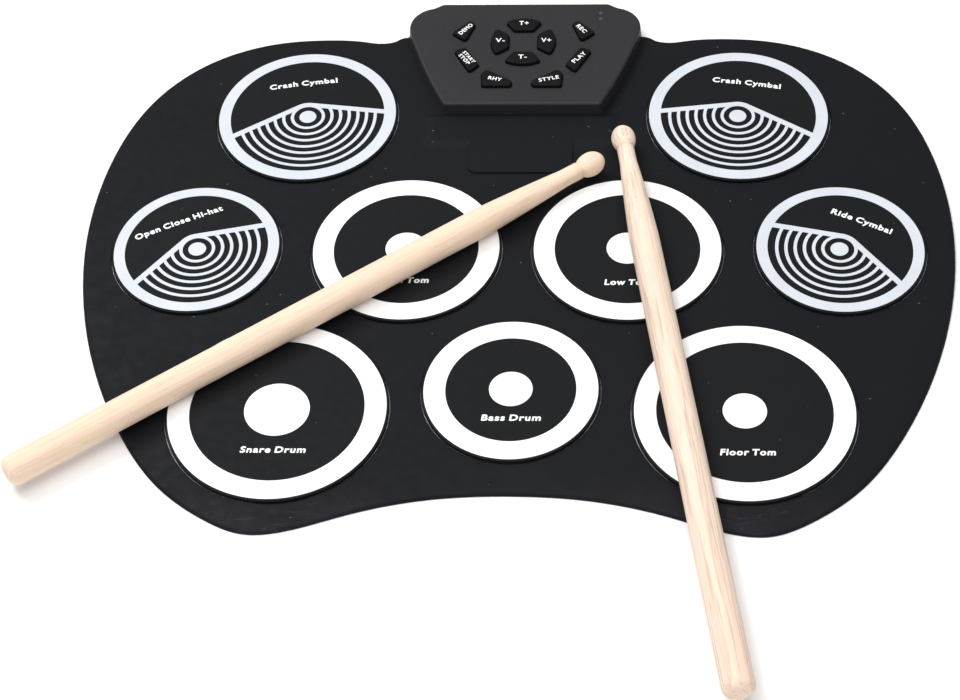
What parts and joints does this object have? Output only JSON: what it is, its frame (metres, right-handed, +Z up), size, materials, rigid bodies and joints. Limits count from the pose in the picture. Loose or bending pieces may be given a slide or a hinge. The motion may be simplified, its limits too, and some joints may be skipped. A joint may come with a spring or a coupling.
{
  "type": "electronic drum pad",
  "caption": "Flat flexible kidney-shaped mat with round printed drum and cymbal pads, a low key-studded control box clamped to its rear edge, and wooden drumsticks resting across it.",
  "frame": {"origin": "on the mat's underside, on its line of symmetry, level with the centres of the two toms", "axes": "+X the player's right, along the mat's long side; +Y away from the player, towards the control box; +Z up"},
  "size_m": [0.4355, 0.4204, 0.019],
  "materials": {
    "mat_silicone": "matt, finely textured silicone, charcoal",
    "pad_silicone": "matt silicone with a printed white ring and centre dot",
    "sensor_sheet": "thin printed polyester film",
    "casing_plastic": "fine spark-textured ABS, dark grey",
    "key_rubber": "matt black silicone with white print",
    "carbon_rubber": "carbon-loaded silicone",
    "board_laminate": "green solder mask over glass-epoxy laminate",
    "chip_plastic": "moulded epoxy",
    "part_metal": "tinned steel",
    "socket_plastic": "black moulded nylon",
    "lens_plastic": "translucent acrylic light pipe",
    "led_resin": "clear resin over a small diode",
    "screw_steel": "black-oxide steel",
    "maple": "sanded maple, thin clear finish"
  },
  "bodies": {
    "root": {"amplifier_chip": "chip_plastic", "board_screws": "screw_steel", "capacitors": "part_metal", "casing_screws": "screw_steel", "circuit_board": "board_laminate", "crystal": "part_metal", "headphone_socket": "socket_plastic", "hi_hat_pedal_socket": "socket_plastic", "indicator_leds": "led_resin", "indicator_lenses": "lens_plastic", "keypad_web": "key_rubber", "kick_pedal_socket": "socket_plastic", "line_in_socket": "socket_plastic", "lower_casing": "casing_plastic", "mat_bottom_skin": "mat_silicone", "mat_top_skin": "mat_silicone", "power_switch_body": "socket_plastic", "sensor_film_lower": "sensor_sheet", "sensor_film_upper": "sensor_sheet", "sensor_spacer": "sensor_sheet", "sensor_tail": "sensor_sheet", "sound_chip": "chip_plastic", "tail_connector": "socket_plastic", "upper_casing": "casing_plastic", "usb_socket": "part_metal", "usb_tongue": "socket_plastic"},
    "pad_crash_left": {"pad_crash_left": "pad_silicone"},
    "pad_crash_right": {"pad_crash_right": "pad_silicone"},
    "pad_hi_hat": {"pad_hi_hat": "pad_silicone"},
    "pad_ride": {"pad_ride": "pad_silicone"},
    "pad_high_tom": {"pad_high_tom": "pad_silicone"},
    "pad_low_tom": {"pad_low_tom": "pad_silicone"},
    "pad_snare": {"pad_snare": "pad_silicone"},
    "pad_floor_tom": {"pad_floor_tom": "pad_silicone"},
    "pad_bass": {"pad_bass": "pad_silicone"},
    "key_tempo_up": {"key_tempo_up": "key_rubber", "pill_tempo_up": "carbon_rubber"},
    "key_volume_up": {"key_volume_up": "key_rubber", "pill_volume_up": "carbon_rubber"},
    "key_tempo_down": {"key_tempo_down": "key_rubber", "pill_tempo_down": "carbon_rubber"},
    "key_volume_down": {"key_volume_down": "key_rubber", "pill_volume_down": "carbon_rubber"},
    "key_record": {"key_record": "key_rubber", "pill_record": "carbon_rubber"},
    "key_play": {"key_play": "key_rubber", "pill_play": "carbon_rubber"},
    "key_style": {"key_style": "key_rubber", "pill_style": "carbon_rubber"},
    "key_demo": {"key_demo": "key_rubber", "pill_demo": "carbon_rubber"},
    "key_start_stop": {"key_start_stop": "key_rubber", "pill_start_stop": "carbon_rubber"},
    "key_rhythm": {"key_rhythm": "key_rubber", "pill_rhythm": "carbon_rubber"},
    "power_knob": {"power_switch_knob": "socket_plastic"},
    "stick_left": {"drumstick_left": "maple"},
    "stick_right": {"drumstick_right": "maple"}
  },
  "joints": [
    {"name": "pad_crash_left_press", "type": "slide", "parent": "root", "child": "pad_crash_left", "axis": [0, 0, -1], "range_m": [0, 0.0004], "stiffness_N_per_m": 2500},
    {"name": "pad_crash_right_press", "type": "slide", "parent": "root", "child": "pad_crash_right", "axis": [0, 0, -1], "range_m": [0, 0.0004], "stiffness_N_per_m": 2500},
    {"name": "pad_hi_hat_press", "type": "slide", "parent": "root", "child": "pad_hi_hat", "axis": [0, 0, -1], "range_m": [0, 0.0004], "stiffness_N_per_m": 2500},
    {"name": "pad_ride_press", "type": "slide", "parent": "root", "child": "pad_ride", "axis": [0, 0, -1], "range_m": [0, 0.0004], "stiffness_N_per_m": 2500},
    {"name": "pad_high_tom_press", "type": "slide", "parent": "root", "child": "pad_high_tom", "axis": [0, 0, -1], "range_m": [0, 0.0004], "stiffness_N_per_m": 2500},
    {"name": "pad_low_tom_press", "type": "slide", "parent": "root", "child": "pad_low_tom", "axis": [0, 0, -1], "range_m": [0, 0.0004], "stiffness_N_per_m": 2500},
    {"name": "pad_snare_press", "type": "slide", "parent": "root", "child": "pad_snare", "axis": [0, 0, -1], "range_m": [0, 0.0004], "stiffness_N_per_m": 2500},
    {"name": "pad_floor_tom_press", "type": "slide", "parent": "root", "child": "pad_floor_tom", "axis": [0, 0, -1], "range_m": [0, 0.0004], "stiffness_N_per_m": 2500},
    {"name": "pad_bass_press", "type": "slide", "parent": "root", "child": "pad_bass", "axis": [0, 0, -1], "range_m": [0, 0.0004], "stiffness_N_per_m": 2500},
    {"name": "key_tempo_up_press", "type": "slide", "parent": "root", "child": "key_tempo_up", "axis": [0, 0, -1], "range_m": [0, 0.0009], "stiffness_N_per_m": 1500},
    {"name": "key_volume_up_press", "type": "slide", "parent": "root", "child": "key_volume_up", "axis": [0, 0, -1], "range_m": [0, 0.0009], "stiffness_N_per_m": 1500},
    {"name": "key_tempo_down_press", "type": "slide", "parent": "root", "child": "key_tempo_down", "axis": [0, 0, -1], "range_m": [0, 0.0009], "stiffness_N_per_m": 1500},
    {"name": "key_volume_down_press", "type": "slide", "parent": "root", "child": "key_volume_down", "axis": [0, 0, -1], "range_m": [0, 0.0009], "stiffness_N_per_m": 1500},
    {"name": "key_record_press", "type": "slide", "parent": "root", "child": "key_record", "axis": [0, 0, -1], "range_m": [0, 0.0009], "stiffness_N_per_m": 1500},
    {"name": "key_play_press", "type": "slide", "parent": "root", "child": "key_play", "axis": [0, 0, -1], "range_m": [0, 0.0009], "stiffness_N_per_m": 1500},
    {"name": "key_style_press", "type": "slide", "parent": "root", "child": "key_style", "axis": [0, 0, -1], "range_m": [0, 0.0009], "stiffness_N_per_m": 1500},
    {"name": "key_demo_press", "type": "slide", "parent": "root", "child": "key_demo", "axis": [0, 0, -1], "range_m": [0, 0.0009], "stiffness_N_per_m": 1500},
    {"name": "key_start_stop_press", "type": "slide", "parent": "root", "child": "key_start_stop", "axis": [0, 0, -1], "range_m": [0, 0.0009], "stiffness_N_per_m": 1500},
    {"name": "key_rhythm_press", "type": "slide", "parent": "root", "child": "key_rhythm", "axis": [0, 0, -1], "range_m": [0, 0.0009], "stiffness_N_per_m": 1500},
    {"name": "power_slide", "type": "slide", "parent": "root", "child": "power_knob", "axis": [1, 0, 0], "range_m": [0, 0.0025]},
    {"name": "stick_left_lift", "type": "slide", "parent": "root", "child": "stick_left", "axis": [0, 0, 1], "range_m": [0, 0.15]},
    {"name": "stick_right_lift", "type": "slide", "parent": "root", "child": "stick_right", "axis": [0, 0, 1], "range_m": [0, 0.15]}
  ]
}
